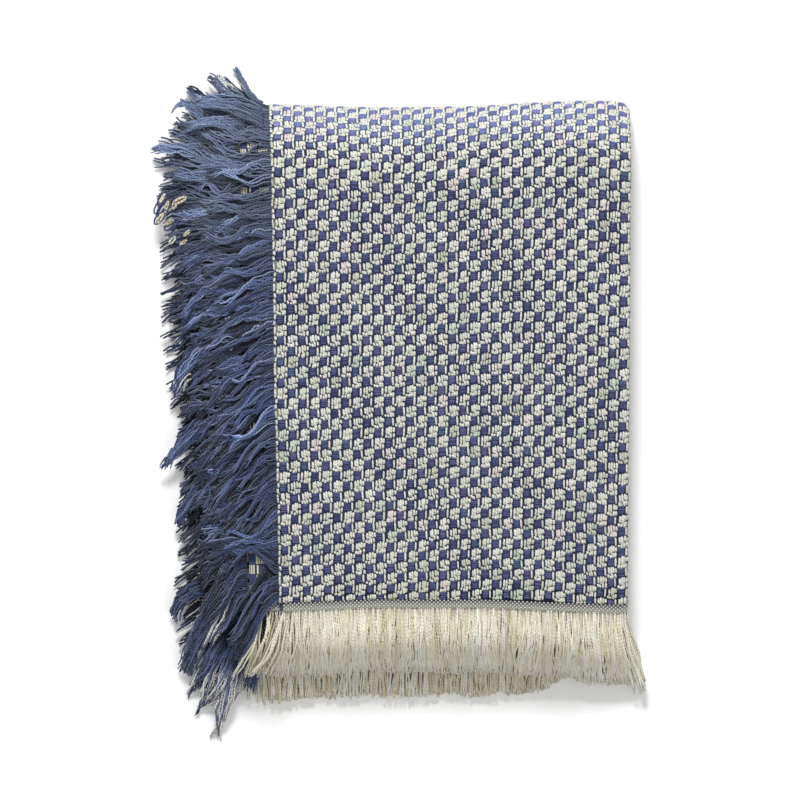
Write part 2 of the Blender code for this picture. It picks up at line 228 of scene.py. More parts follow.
def folded_section(pitch, over_end, under_end, near_turn, far_turn, far_stretch, steps, turn_steps):
    """A cloth folded in half twice, seen end on. Its rows hold the place, the height, the way
    that the front faces, and 1 where yarns can leave an edge or 0 in the inner turn."""
    rows = []

    def straight(start, end, height, facing):
        for share in np.linspace(0, 1, steps + 1):
            rows.append((start + share * (end - start), height, 0.0, facing, 1.0))

    def turn(place, height, radius, first, last, stretch, facing, is_open):
        for angle in np.radians(np.linspace(first, last, turn_steps + 1)[1:-1]):
            out, up = math.cos(angle), math.sin(angle)
            there = place + (stretch + radius) * out
            rows.append((there, height + radius * up, facing * out, facing * up, is_open))

    straight(over_end, far_turn, 3 * pitch, 1.0)
    turn(far_turn, 1.5 * pitch, 1.5 * pitch, 90, -90, far_stretch, 1.0, 1.0)
    straight(far_turn, near_turn, 0.0, -1.0)
    turn(near_turn, 0.5 * pitch, 0.5 * pitch, -90, -270, SIDE_STRETCH, 1.0, 1.0)
    straight(near_turn, far_turn, pitch, 1.0)
    turn(far_turn, 1.5 * pitch, 0.5 * pitch, -90, 90, far_stretch, -1.0, 0.0)
    straight(far_turn, under_end, 2 * pitch, -1.0)
    return np.array(rows)


def across_rows(steps, turn_steps):
    """The fold across the width, with heights above the back of the four-layer strip."""
    rows = folded_section(
        LAYER_PITCH, OVER_EDGE_X, UNDER_EDGE_X, SIDE_FOLD_X, RIGHT_TURN_X, SIDE_STRETCH, steps, turn_steps
    )
    return rows + (0, CLOTH_THICKNESS / 2, 0, 0, 0)


def along_rows(steps, turn_steps):
    """The fold along the length, with heights above the floor."""
    rows = folded_section(
        STRIP_PITCH, OVER_END_Y, UNDER_END_Y, END_FOLD_Y, TOP_TURN_Y, TOP_STRETCH, steps, turn_steps
    )
    return rows + (0, STRIP_THICKNESS / 2, 0, 0, 0)


def carried(along, heights):
    """Heights above the strip's back, carried round the fold along the length: y and z."""
    offset = heights - STRIP_THICKNESS / 2
    return along[..., 0] + along[..., 2] * offset, along[..., 1] + along[..., 3] * offset


def run_lengths(rows, offset=0.0):
    """The length of cloth from the first row of a section to each row, at an offset in front of it."""
    place = rows[:, 0] + rows[:, 2] * offset
    height = rows[:, 1] + rows[:, 3] * offset
    return np.concatenate(([0.0], np.cumsum(np.hypot(np.diff(place), np.diff(height)))))


def face_lengths(rows):
    """The length of cloth to each row of the fold along the length, on its outer face."""
    outer_y = rows[:, 0] + rows[:, 2] * STRIP_THICKNESS / 2
    extra = np.maximum.accumulate(column(TOP_GATHER, "extra", outer_y))
    return run_lengths(rows, STRIP_THICKNESS / 2) + extra


def row_at(rows, length, lengths=None):
    """The section's rows at lengths of cloth, carried on straight before its start."""
    lengths = run_lengths(rows) if lengths is None else lengths
    inside = np.maximum(length, 0.0)
    found = np.stack([np.interp(inside, lengths, rows[:, k]) for k in range(rows.shape[1])], axis=-1)
    found[..., 0] += np.minimum(length, 0.0)
    return found


def row_sag(x, y):
    """How far a row of the weave hangs down at a place of the squarely folded pile."""
    heights = sorted(key for key in SAG if key != "x")
    levels = np.stack([np.interp(x, SAG["x"], SAG[key]) for key in heights])
    place = np.clip(np.interp(y, heights, np.arange(len(heights))), 0, len(heights) - 1.001)
    low = place.astype(int)
    share = place - low
    sag = np.take_along_axis(levels, low[None], 0)[0] * (1 - share)
    sag = sag + np.take_along_axis(levels, low[None] + 1, 0)[0] * share
    top = 4 * STRIP_PITCH
    here = lying(np.stack((x, y, np.full_like(y, top)), axis=-1))[..., 1]
    middle = lying(np.stack((np.full_like(x, SAG_MIDDLE_X), y, np.full_like(y, top)), axis=-1))[..., 1]
    return sag + (here - middle) / MM


def sheet_points(across, along, offset):
    """A grid of points at an offset in front of the middle of every layer, still squarely folded."""
    x = across[:, 0] + across[:, 2] * offset
    heights = across[:, 1] + across[:, 3] * offset
    y, z = carried(along[:, None, :], heights[None, :])
    return np.stack((np.broadcast_to(x, y.shape), y, z), axis=-1)


def grid_faces(rows, columns, start=0):
    """Quads of a grid of points, as indices."""
    index = start + np.arange(rows * columns).reshape(rows, columns)
    return np.stack((index[:-1, :-1], index[:-1, 1:], index[1:, 1:], index[1:, :-1]), axis=-1).reshape(-1, 4)


def make_piece(name, points, faces, material, uv, tint=None):
    """A smooth mesh object from arrays of points and equal-sided faces, with a UV place for each point."""
    mesh = bpy.data.meshes.new(name)
    points = np.ascontiguousarray(points, np.float32).reshape(-1, 3)
    faces = np.ascontiguousarray(faces, np.int32)
    mesh.vertices.add(len(points))
    mesh.vertices.foreach_set("co", points.ravel())
    mesh.loops.add(faces.size)
    mesh.loops.foreach_set("vertex_index", faces.ravel())
    mesh.polygons.add(len(faces))
    mesh.polygons.foreach_set("loop_start", np.arange(0, faces.size, faces.shape[1], dtype=np.int32))
    mesh.polygons.foreach_set("use_smooth", np.ones(len(faces), bool))
    layer = mesh.uv_layers.new(name="UVMap")
    layer.data.foreach_set("uv", np.ascontiguousarray(uv, np.float32)[faces.ravel()].ravel())
    if tint is not None:
        colours = mesh.color_attributes.new(name="tint", type="FLOAT_COLOR", domain="POINT")
        rgba = np.concatenate((tint, np.ones((len(tint), 1))), axis=1).astype(np.float32)
        colours.data.foreach_set("color", rgba.ravel())
    mesh.update(calc_edges=True)
    mesh.materials.append(material)
    piece = bpy.data.objects.new(name, mesh)
    bpy.context.scene.collection.objects.link(piece)
    return piece


def linear(colour):
    """A screen colour from 0 to 255 as the linear values that shaders and tints take."""
    share = np.asarray(colour, float) / 255
    return np.where(share <= 0.04045, share / 12.92, ((share + 0.055) / 1.055) ** 2.4)


def yarn_material(name, roughness, sheen):
    """A dull fibrous material, with its node tree and shader."""
    material = bpy.data.materials.new(name)
    material.use_nodes = True
    shader = material.node_tree.nodes["Principled BSDF"]
    set_values(shader, {
        "Roughness": roughness,
        "Specular IOR Level": 0.15,
        "Sheen Weight": sheen,
        "Sheen Roughness": 0.5,
    })
    return material, material.node_tree, shader


def maths(tree, operation, *values):
    """A Math node with these values or links as its inputs."""
    node = tree.nodes.new("ShaderNodeMath")
    node.operation = operation
    for socket, value in zip(node.inputs, values):
        if isinstance(value, (int, float)):
            socket.default_value = value
        else:
            tree.links.new(value, socket)
    return node.outputs[0]


def mixed(tree, factor, low, high):
    """A colour mix by a linked factor. Each end is a screen colour or a link."""
    node = tree.nodes.new("ShaderNodeMix")
    node.data_type = "RGBA"
    tree.links.new(factor, node.inputs[0])
    for socket, value in zip((node.inputs[6], node.inputs[7]), (low, high)):
        if isinstance(value, tuple):
            socket.default_value = (*linear(value), 1.0)
        else:
            tree.links.new(value, socket)
    return node.outputs[2]


def band(tree, value, middle, half):
    """1 where a value is within half of the middle, else 0."""
    return maths(tree, "LESS_THAN", maths(tree, "ABSOLUTE", maths(tree, "SUBTRACT", value, middle)), half)


def bumped(tree, shader, height, distance, strength):
    node = tree.nodes.new("ShaderNodeBump")
    node.inputs["Distance"].default_value = distance
    node.inputs["Strength"].default_value = strength
    tree.links.new(height, node.inputs["Height"])
    tree.links.new(node.outputs["Normal"], shader.inputs["Normal"])


def fibre_noise(tree, place, scale, detail):
    """The uneven level of spun fibres at a linked place."""
    noise = tree.nodes.new("ShaderNodeTexNoise")
    set_values(noise, {"Scale": scale, "Detail": detail})
    tree.links.new(place, noise.inputs["Vector"])
    return noise.outputs[0]


def uv_axes(tree):
    """The two values of the UV place."""
    place = tree.nodes.new("ShaderNodeUVMap")
    place.uv_map = "UVMap"
    split = tree.nodes.new("ShaderNodeSeparateXYZ")
    tree.links.new(place.outputs["UV"], split.inputs[0])
    return place.outputs["UV"], split.outputs["X"], split.outputs["Y"]


def outer_face(along, across):
    """1 on the outer face of the top strip, where the raised floats stand, else 0."""
    high = (np.arange(len(along)) < np.argmax(along[:, 3] < 0.0))[:, None]
    return high & (np.arange(len(across)) < np.argmax(across[:, 3] < 0.0))[None, :]


def weave_material():
    """The weave's colours and height, from the cloth's own width and length counted in repeats and rows."""
    material, tree, shader = yarn_material("woven_cloth", 0.92, 0.1)
    place, u, v = uv_axes(tree)
    row = maths(tree, "FLOOR", v)
    across = maths(tree, "ADD", maths(tree, "SUBTRACT", u, REPEAT_START), maths(tree, "MULTIPLY", row, 0.5))
    across = maths(tree, "FRACT", across)
    up = maths(tree, "FRACT", v)
    cream_block = maths(tree, "LESS_THAN", across, BLOCK_END)
    cream = maths(tree, "MAXIMUM", cream_block, band(tree, across, *SINGLE_YARN))
    blue = band(tree, across, *BLUE_SQUARE)
    end = maths(tree, "GREATER_THAN", maths(tree, "ABSOLUTE", maths(tree, "SUBTRACT", up, 0.5)), ROW_BODY)
    turns = maths(tree, "MULTIPLY", across, math.pi * BLOCK_YARNS / BLOCK_END)
    yarn = maths(tree, "ABSOLUTE", maths(tree, "SINE", turns))
    fibres = fibre_noise(tree, place, 2.2, 4.0)
    ground = mixed(tree, blue, DEEP_NAVY, PALE_NAVY)
    lit = maths(tree, "MULTIPLY", cream, maths(tree, "POWER", yarn, 0.6))
    lit = maths(tree, "MULTIPLY", lit, maths(tree, "SUBTRACT", 1.0, maths(tree, "MULTIPLY", end, 0.9)))
    covered = tree.nodes.new("ShaderNodeAttribute")
    covered.attribute_name = "tint"
    drawn = mixed(tree, lit, ground, CREAM)
    rows_up = maths(tree, "DIVIDE", maths(tree, "SUBTRACT", v, TOP_LIT_ROW), TOP_LIT_ROWS)
    top_lit = maths(tree, "MINIMUM", maths(tree, "MAXIMUM", rows_up, 0.0), 1.0)
    under_floats = mixed(tree, top_lit, DEEP_NAVY, TOP_LIT_NAVY)
    tree.links.new(mixed(tree, covered.outputs["Fac"], drawn, under_floats), shader.inputs["Base Color"])
    bumped(tree, shader, maths(tree, "ADD", lit, maths(tree, "MULTIPLY", fibres, 0.4)), 0.0012, 0.8)
    return material


def make_cloth():
    across = across_rows(14, 10)
    along = along_rows(18, 14)
    front = sheet_points(across, along, SHEET_THICKNESS / 2)
    back = sheet_points(across, along, -SHEET_THICKNESS / 2)
    rows, columns = front.shape[:2]
    index = np.arange(rows * columns).reshape(rows, columns)
    rim = np.concatenate((index[0, :], index[1:, -1], index[-1, -2::-1], index[-2:0:-1, 0]))
    next_rim = np.roll(rim, -1)
    behind = rows * columns
    faces = np.concatenate((
        grid_faces(rows, columns),
        grid_faces(rows, columns, behind)[:, ::-1],
        np.stack((next_rim, rim, behind + rim, behind + next_rim), axis=-1),
    ))
    sag = row_sag(front[..., 0], front[..., 1])
    u = np.broadcast_to(run_lengths(across)[None, :] / REPEAT_WIDTH, sag.shape)
    v = (face_lengths(along)[:, None] + sag) / ROW_HEIGHT
    uv = np.tile(np.stack((u, v), axis=-1).reshape(-1, 2), (2, 1))
    points = lying(np.concatenate((front.reshape(-1, 3), back.reshape(-1, 3))))
    cover = np.concatenate((outer_face(along, across).ravel(), np.zeros(rows * columns)))
    tint = np.repeat(cover[:, None], 3, axis=1)
    piece = make_piece("cloth_sheet", points, faces, weave_material(), uv, tint)
    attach(piece, "root")
    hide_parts("woven_cloth")
    return piece


cloth = make_cloth()

# The raised floats of the weave
# Plump cream warp yarns pass over the cloth in blocks of four and singly, and navy weft shows between
# them in small squares. They stand on the outer face of the top strip and go round its two folds.
FACE_COLUMNS = 18
FACE_ROWS = 54
# Each stitch is a row: where it starts across the repeat and its width, in millimetres, the share of the
# row of weave where it starts and ends, and how high it stands.
STITCHES = {
    "cream": (
        (0.1, 2.3, 0.28, 0.95, 1.0),
        (2.25, 2.4, 0.22, 1.05, 1.25),
        (4.45, 2.4, 0.44, 1.05, 1.25),
        (6.65, 2.4, 0.50, 0.96, 1.0),
        (-0.7, 2.3, -0.06, 0.27, 0.8),
        (1.5, 2.4, -0.11, 0.21, 0.9),
        (3.8, 2.4, -0.08, 0.40, 0.95),
        (6.2, 2.3, -0.02, 0.42, 0.8),
        (15.8, 2.0, 0.10, 0.92, 0.95),
    ),
    "blue": (
        (9.7, 5.3, 0.72, 0.92, 0.5),
        (9.7, 5.3, 0.53, 0.73, 0.6),
        (9.6, 5.4, 0.34, 0.55, 0.6),
        (9.8, 5.1, 0.16, 0.36, 0.45),
    ),
}
FLOAT_COLOURS = {
    "cream": (
        (215, 216, 205), (203, 205, 191), (186, 189, 172), (219, 208, 205), (187, 200, 183), (229, 229, 221),
    ),
    "blue": ((78, 84, 124), (98, 100, 142), (58, 66, 102), (76, 98, 124), (100, 92, 132)),
}
# How much lighter the floats are in the top roll, where the light falls on them.
TOP_LIGHT = {"cream": 0.08, "blue": 1.1}
# The share of blocks with a colour of their own, and how much of its colour a stitch takes from its block.
MIXED_BLOCKS = 0.3
BLOCK_SHARE = 0.6
# A stitch is a small swelling of four points by four: where they are and how high, across and along it.
STITCH_ACROSS = (-0.5, -0.28, 0.28, 0.5)
STITCH_ACROSS_RISE = (-0.4, 0.9, 0.9, -0.4)
STITCH_ALONG = (0.0, 0.24, 0.76, 1.0)
STITCH_ALONG_RISE = (0.0, 1.0, 1.0, 0.0)
STITCH_ALONG_WIDTH = (0.6, 1.0, 1.0, 0.6)


def yarn_group():
    """Spun yarn: a tint with fibres and twist, from places along and around the yarn."""
    group = bpy.data.node_groups.new("spun_yarn", "ShaderNodeTree")
    group.interface.new_socket("Tint", in_out="INPUT", socket_type="NodeSocketColor")
    for name in ("Along", "Around", "Twist"):
        group.interface.new_socket(name, in_out="INPUT", socket_type="NodeSocketFloat")
    for name, kind in (("Color", "NodeSocketColor"), ("Height", "NodeSocketFloat")):
        group.interface.new_socket(name, in_out="OUTPUT", socket_type=kind)
    given = group.nodes.new("NodeGroupInput")
    result = group.nodes.new("NodeGroupOutput")
    turn = maths(group, "MULTIPLY", given.outputs["Along"], 0.31)
    turn = maths(group, "ADD", turn, given.outputs["Around"])
    twist = maths(group, "SINE", maths(group, "MULTIPLY", turn, 2 * math.pi))
    join = group.nodes.new("ShaderNodeCombineXYZ")
    group.links.new(given.outputs["Along"], join.inputs[0])
    group.links.new(maths(group, "MULTIPLY", given.outputs["Around"], 3.0), join.inputs[1])
    fibres = fibre_noise(group, join.outputs[0], 1.7, 3.0)
    height = maths(group, "ADD", maths(group, "MULTIPLY", twist, 0.5), fibres)
    level = maths(group, "ADD", 0.6, maths(group, "MULTIPLY", fibres, 0.7))
    # The twist lightens and darkens the tint along the yarn: painted shade in the grooves between the plies.
    level = maths(group, "ADD", level, maths(group, "MULTIPLY", twist, given.outputs["Twist"]))
    shade = group.nodes.new("ShaderNodeVectorMath")
    shade.operation = "SCALE"
    group.links.new(given.outputs["Tint"], shade.inputs[0])
    group.links.new(level, shade.inputs["Scale"])
    group.links.new(shade.outputs[0], result.inputs["Color"])
    group.links.new(height, result.inputs["Height"])
    return group


SPUN_YARN = yarn_group()


def tinted_yarn(name, sheen, twist):
    """Yarn whose colour is given for each point, by the tint of its mesh, and how far its twist shows as
    painted shade in the colour.
    """
    material, tree, shader = yarn_material(name, 0.95, sheen)
    _, along, around = uv_axes(tree)
    tint = tree.nodes.new("ShaderNodeAttribute")
    tint.attribute_name = "tint"
    yarn = tree.nodes.new("ShaderNodeGroup")
    yarn.node_tree = SPUN_YARN
    yarn.inputs["Twist"].default_value = twist
    tree.links.new(tint.outputs["Color"], yarn.inputs["Tint"])
    tree.links.new(along, yarn.inputs["Along"])
    tree.links.new(around, yarn.inputs["Around"])
    tree.links.new(yarn.outputs["Color"], shader.inputs["Base Color"])
    bumped(tree, shader, yarn.outputs["Height"], 0.0004, 0.7)
    return material


def on_face(across, along, u, v, rise):
    """Places on the outer face of the top strip, from lengths of cloth and a height over it."""
    near = row_at(across, u)
    lengths = face_lengths(along)
    far = row_at(along, v, lengths)
    offset = SHEET_THICKNESS / 2
    x = near[..., 0] + near[..., 2] * offset
    y, _ = carried(far, near[..., 1] + near[..., 3] * offset)
    far = row_at(along, np.maximum(v - row_sag(x, y), 0.1), lengths)
    offset = offset + rise
    y, z = carried(far, near[..., 1] + near[..., 3] * offset)
    return np.stack((near[..., 0] + near[..., 2] * offset, y, z), axis=-1)


def make_floats(name, kind, seed):
    rng = np.random.default_rng(seed)
    across = across_rows(60, 24)
    along = along_rows(90, 30)
    upright = kind == "cream"
    cross, cross_rise = (np.array(value)[None, :, None] for value in (STITCH_ACROSS, STITCH_ACROSS_RISE))
    run, run_rise, run_width = (
        np.array(value)[None, None, :] for value in (STITCH_ALONG, STITCH_ALONG_RISE, STITCH_ALONG_WIDTH)
    )
    palette = linear(FLOAT_COLOURS[kind])
    starts = []
    tints = []
    for row in range(FACE_ROWS):
        for repeat in range(-1, FACE_COLUMNS):
            left = REPEAT_WIDTH * (REPEAT_START + repeat + 0.5 * (row % 2))
            block = palette[rng.choice(len(palette))] if rng.random() < MIXED_BLOCKS else palette[0]
            for start, width, low, high, rise in STITCHES[kind]:
                starts.append((left + start, row, width, low, high, rise))
                tints.append(BLOCK_SHARE * block + (1 - BLOCK_SHARE) * palette[rng.choice(len(palette))])
    starts = np.array(starts)
    tints = np.array(tints)
    middle = starts[:, 0] + starts[:, 2] / 2
    limit = run_lengths(across)
    last = limit[np.argmax(across[:, 2])] + 2
    keep = (middle > -EDGE_GAP - 3.5) & (middle < last)
    starts, tints = starts[keep], tints[keep]
    jitter = rng.normal(0, 1, (len(starts), 4))[:, :, None, None]
    start, row, width, low, high, rise = np.moveaxis(starts, 1, 0)[..., None, None]
    left = start + 0.22 * jitter[:, 0]
    width = width * (1 + 0.06 * jitter[:, 1])
    low = np.maximum((row + low + 0.03 * jitter[:, 2]) * ROW_HEIGHT, 0.0)
    high = np.maximum((row + high + 0.03 * jitter[:, 3]) * ROW_HEIGHT, 1.2)
    rise = rise * (1 + 0.12 * jitter[:, 0])
    tints = tints * (1 + TOP_LIGHT[kind] * smooth((row[:, 0] - TOP_LIT_ROW + 2) / TOP_LIT_ROWS))
    if upright:
        lean = 0.5 * np.sin(row * 1.7) * (run - 0.5)
        u = left + width * (0.5 + cross * run_width) + lean
        v = low + (high - low) * run
    else:
        u = left + width * run
        v = low + (high - low) * (0.5 - cross * run_width)
    u, v = np.broadcast_arrays(u, v)
    points = lying(on_face(across, along, u, v, rise * (cross_rise * run_rise)))
    number = np.arange(len(starts))[:, None, None]
    corners = cross.size * run.size
    faces = (grid_faces(cross.size, run.size)[None] + corners * number).reshape(-1, 4)[:, ::-1]
    along_yarn = np.broadcast_to((high - low if upright else width) * run + 3.7 * number, u.shape)
    around_yarn = np.broadcast_to(0.5 + 0.5 * cross, u.shape)
    uv = np.stack((along_yarn, around_yarn), axis=-1).reshape(-1, 2)
    tint = np.repeat(tints, corners, axis=0)
    piece = make_piece(name, points, faces, tinted_yarn(name, 0.1, 0.1), uv, tint)
    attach(piece, "root")


make_floats("cream_floats", "cream", 11)
make_floats("blue_squares", "blue", 12)

# The blue side fringes
# Long navy and denim blue yarns, the cloth's own weft, leave each side edge in a dense row on every layer.
# They sweep down the page, gather in clumps, and lie over each other down to the floor.
SIDE_BAND_WIDTH = 4.5
SIDE_FRINGE_LENGTH = 87.0
SWEEP_START = 12.0
SIDE_STEPS = 13
YARN_SIDES = 3
# A yarn starts inside its band and is followed this far out. None goes nearer to the floor than this.
SIDE_ROOT_DEPTH = 3.0
SIDE_FARTHEST = 150.0
FLOOR_CLEARANCE = 0.9
PRESSED_LENGTH = 0.84
PRESSED_REACH = 0.96
CREAM_SIDE_X = -128.0
BLUE_SIDE_X = -160.0
END_BAND_WIDTH = 8.5
# Each pass of yarns is a row: whether it is on the top strip alone, the space between roots, its share
# of the full length, its tone, how far it is lifted, how far its clumps curl, and how wide they are.
# The tone is painted light: a painted shade darkens the deep passes, and a painted highlight lifts the top
# ones.
SIDE_PASSES = (
    (False, 2.6, 0.84, 0.1, 0.0, 3.0, 11.0),
    (False, 3.0, 1.0, 0.36, 0.0, 6.0, 12.0),
    (True, 2.4, 0.8, 0.12, 0.4, 4.0, 12.0),
    (True, 1.8, 0.98, 0.54, 2.2, 7.0, 13.0),
    (True, 1.8, 0.86, 0.86, 4.0, 8.0, 14.0),
    (True, 2.2, 0.68, 1.2, 5.4, 9.0, 12.0),
)
BRIGHTEST_TONE = 1.4
# The lock under the gathered tuft parts, and the yarns deep in that hollow get a painted shadow, the darkest
# of all.
HOLLOW_X = -155.0
HOLLOW_Y = -160.0
HOLLOW_WIDTH = 15.0
HOLLOW_LENGTH = 26.0
HOLLOW_TOP = 46.0
HOLLOW_EDGE = 8.0
HOLLOW_DARK = 0.85
# The upper edge's yarns part in places, where the cloth below shows: x, y and half the width.
PARTINGS = (
    (-138.0, 231.0, 4.5),
    (-137.0, 193.0, 4.5),
    (-133.0, -138.0, 5.0),
    (-134.0, -152.0, 5.0),
    (-136.0, -165.0, 4.0),
)
# Towards the top the yarns are painted paler and greyer: painted light where the light falls, which also
# makes the deep passes less dark there.
PAINTED_TOP_BLUE = (122, 136, 164)
PAINTED_TOP_SHARE = 0.7
PAINTED_TOP_START_Y = 90.0
PAINTED_TOP_FULL_Y = 230.0
# The yarns of one stretch of the upper edge are gathered in a tuft that lies across the others.
TUFT_LOW_Y = -137.0
TUFT_HIGH_Y = -74.0
TUFT_MIDDLE_Y = -102.0
TUFT_SWEEP_Y = 165.0
# Clumps sweep unevenly below this height, and further down from the lower corner on.
UNEVEN_Y = 200.0
CORNER_Y = -120.0
CORNER_LENGTH = 20.0
# Low down on the edge further out, from the second strip up, some yarns end in silver, cream or pale blue.
MIXED_Y = -150.0
MIXED_Z = 1.6 * STRIP_PITCH
MIXED_SHARE = 0.65
# Painted light along the edge: the blue yarns are darker low down and lighter towards the top, where the
# light falls.
SIDE_PAINTED_LIGHT = {
    "y": (-190.0, -60.0, 60.0, 160.0, 220.0),
    "tone": (0.56, 0.66, 0.8, 0.9, 0.95),
}
BLUE_YARNS = ((86, 103, 148), (106, 123, 166), (68, 82, 130), (142, 156, 190), (48, 60, 104), (82, 104, 142))
BLUE_SHARES = (0.26, 0.2, 0.2, 0.12, 0.12, 0.1)
MIXED_YARNS = ((232, 232, 226), (246, 246, 244), (214, 210, 196), (96, 108, 150))
# How far a yarn sweeps down for each unit out, from either edge and where it is pressed low in the pile,
# and its share of the full length, by the height of its root.
SIDE_SWEEP = {
    "y": (-190.0, -165.0, -140.0, -60.0, 30.0, 140.0, 215.0, 245.0, 262.0, 280.0),
    "over": (2.4, 2.1, 1.7, 1.25, 0.9, 0.5, 0.12, -0.12, -0.45, -0.8),
    "under": (2.6, 2.1, 1.7, 1.2, 0.9, 0.5, 0.12, -0.12, -0.45, -0.8),
    "pressed": (0.8, 0.78, 0.84, 0.95, 0.8, 0.42, 0.12, -0.12, -0.45, -0.8),
    "length": (1.12, 1.04, 0.98, 0.92, 0.88, 0.9, 0.94, 0.86, 0.74, 0.62),
}
# How high a yarn lies once it has fallen clear of the pile, by the height of its root.
SETTLE = {
    "root_z": (0.0, 3.0, 3.6, 6.6, 21.6, 24.6, 28.8, 35.4, 50.4, 57.0),
    "blue_z": (0.0, 2.3, 2.8, 5.1, 7.4, 9.4, 12.4, 17.0, 20.4, 25.2),
    "cream_z": (0.0, 0.0, 0.0, 0.0, 0.0, 0.0, 0.0, 5.4, 17.6, 23.0),
}
FALL = {
    "distance": (0.0, 16.0, 34.0, 50.0),
    "share": (0.0, 0.25, 0.72, 1.0),
}


def settled(x, y, z):
    """Height of a fringe point: level beside the pile, then down to where the yarns lie."""
    out_left = np.maximum(0.0, UNDER_EDGE_X - EDGE_GAP - SIDE_BAND_WIDTH - x)
    out_below = np.maximum(0.0, UNDER_END_Y - EDGE_GAP - END_BAND_WIDTH - y)
    share = column(FALL, "share", np.hypot(out_left, out_below))
    blue = column(SETTLE, "blue_z", z)
    cream = column(SETTLE, "cream_z", z)
    low = blue + smooth((x - BLUE_SIDE_X) / (CREAM_SIDE_X - BLUE_SIDE_X)) * (cream - blue)
    return z + share * (low - z)


def side_travel(root_y, z, out, kind):
    """How far a blue yarn has gone down the page once it is this far out from its edge."""
    is_pressed = (z < 2 * STRIP_PITCH) & (root_y < TOP_TURN_Y)
    sweep = np.where(is_pressed, column(SIDE_SWEEP, "pressed", root_y), column(SIDE_SWEEP, kind, root_y))
    out = np.maximum(out, 0.0)
    return sweep * out * out / (out + SWEEP_START)


def yarn_roots(rows, pitch, clump, rng, total):
    """Lengths along a section where yarns leave it, outside its inner turn, with the middle and the
    number of each one's clump."""
    edges = [0.0]
    while edges[-1] < total:
        edges.append(edges[-1] + clump * rng.uniform(0.6, 1.5))
    edges = np.array(edges)
    places = np.arange(pitch / 2, total, pitch)
    places = places + rng.uniform(-0.3, 0.3, len(places)) * pitch
    places = places[row_at(rows, places)[:, 4] > 0.99]
    group = np.searchsorted(edges, places) - 1
    middles = np.minimum((edges[group] + edges[group + 1]) / 2, total)
    return places, middles, group


def even_lengths(paths, lengths, steps):
    """For each path of points, the share of the path at even steps up to its wanted length."""
    gone = np.cumsum(np.linalg.norm(np.diff(paths, axis=1), axis=2), axis=1)
    gone = np.concatenate((np.zeros((len(paths), 1)), gone), axis=1)
    wanted = lengths[:, None] * np.linspace(0, 1, steps)
    marks = np.linspace(0, 1, paths.shape[1])
    return np.stack([np.interp(want, line, marks) for want, line in zip(wanted, gone)])


def clump_draws(rng, group):
    """Two ways to draw values for yarns: one for each clump, given to its yarns, or one for each yarn."""
    def shared(draw, *values):
        return draw(*values, group.max() + 1)[group][:, None]

    def single(low, high):
        return rng.uniform(low, high, (len(group), 1))

    return shared, single


def waves(share, turns, start):
    """A wave along each yarn."""
    return np.sin(2 * np.pi * (share * turns + start))


def on_top(z):
    """1 for the layers of the top strip's upper side, else 0."""
    return smooth((z - 3.4 * STRIP_PITCH) / 6.0)


def painted_top_light_share(y):
    """How far a blue yarn is painted paler and greyer at a place along the edge: painted light towards the
    top.
    """
    return PAINTED_TOP_SHARE * smooth((y - PAINTED_TOP_START_Y) / (PAINTED_TOP_FULL_Y - PAINTED_TOP_START_Y))


def tubes(paths, radii, twist_start):
    """Thin tubes along paths of points in metres: points, triangles and UV places."""
    count, steps = paths.shape[:2]
    tangent = np.gradient(paths, axis=1)
    tangent /= np.linalg.norm(tangent, axis=2, keepdims=True) + 1e-9
    side = np.cross(tangent, (0.0, 0.0, 1.0))
    flat = np.linalg.norm(side, axis=2, keepdims=True)
    side = np.where(flat > 0.05, side / np.maximum(flat, 1e-6), (1.0, 0.0, 0.0))
    up = np.cross(side, tangent)
    angles = 2 * np.pi * np.arange(YARN_SIDES) / YARN_SIDES + np.pi / 2
    ring = (
        np.cos(angles)[None, None, :, None] * side[:, :, None, :]
        + np.sin(angles)[None, None, :, None] * up[:, :, None, :]
    )
    points = paths[:, :, None, :] + ring * radii[:, :, None, None]
    index = np.arange(steps * YARN_SIDES).reshape(steps, YARN_SIDES)
    turned = np.roll(index, -1, axis=1)
    a, b, c, d = index[:-1], turned[:-1], turned[1:], index[1:]
    one = np.concatenate((
        np.stack((a, b, c), axis=-1).reshape(-1, 3),
        np.stack((a, c, d), axis=-1).reshape(-1, 3),
        index[:1, ::-1],
        index[-1:],
    ))
    faces = (one[None] + steps * YARN_SIDES * np.arange(count)[:, None, None]).reshape(-1, 3)
    lengths = np.linalg.norm(np.diff(paths, axis=1), axis=2).cumsum(axis=1) / MM
    along = np.concatenate((np.zeros((count, 1)), lengths), axis=1) + twist_start[:, None]
    along = np.repeat(along[:, :, None], YARN_SIDES, axis=2)
    around = np.broadcast_to(np.arange(YARN_SIDES) / YARN_SIDES, along.shape)
    return points.reshape(-1, 3), faces, np.stack((along, around), axis=-1).reshape(-1, 2)


def side_flow(root_y, y, z, out, aside, edge_x, kind):
    """A blue yarn's place, squarely folded, once it is this far out from the band on its edge."""
    x = edge_x - EDGE_GAP - SIDE_BAND_WIDTH - out
    new_y = y - side_travel(root_y, z, out, kind) + aside
    return np.stack(np.broadcast_arrays(x, new_y, settled(x, new_y, z)), axis=-1)


def hollow_shade(placed):
    """How much of its colour a yarn keeps under the painted shadow deep in the hollow beside the gathered
    tuft.
    """
    x, y, z = np.moveaxis(placed / MM + PILE_MIDDLE, -1, 0)
    near = np.exp(-((x - HOLLOW_X) / HOLLOW_WIDTH) ** 2 - ((y - HOLLOW_Y) / HOLLOW_LENGTH) ** 2)
    return 1 - HOLLOW_DARK * near * smooth((HOLLOW_TOP - z) / HOLLOW_EDGE)


def is_parted(placed):
    """Which yarns of the upper edge would cross a place where they part."""
    x, y, _ = np.moveaxis(placed / MM + PILE_MIDDLE, -1, 0)
    crossing = [np.hypot(x - place[0], y - place[1]) < place[2] for place in PARTINGS]
    return np.any(crossing, axis=(0, 2))


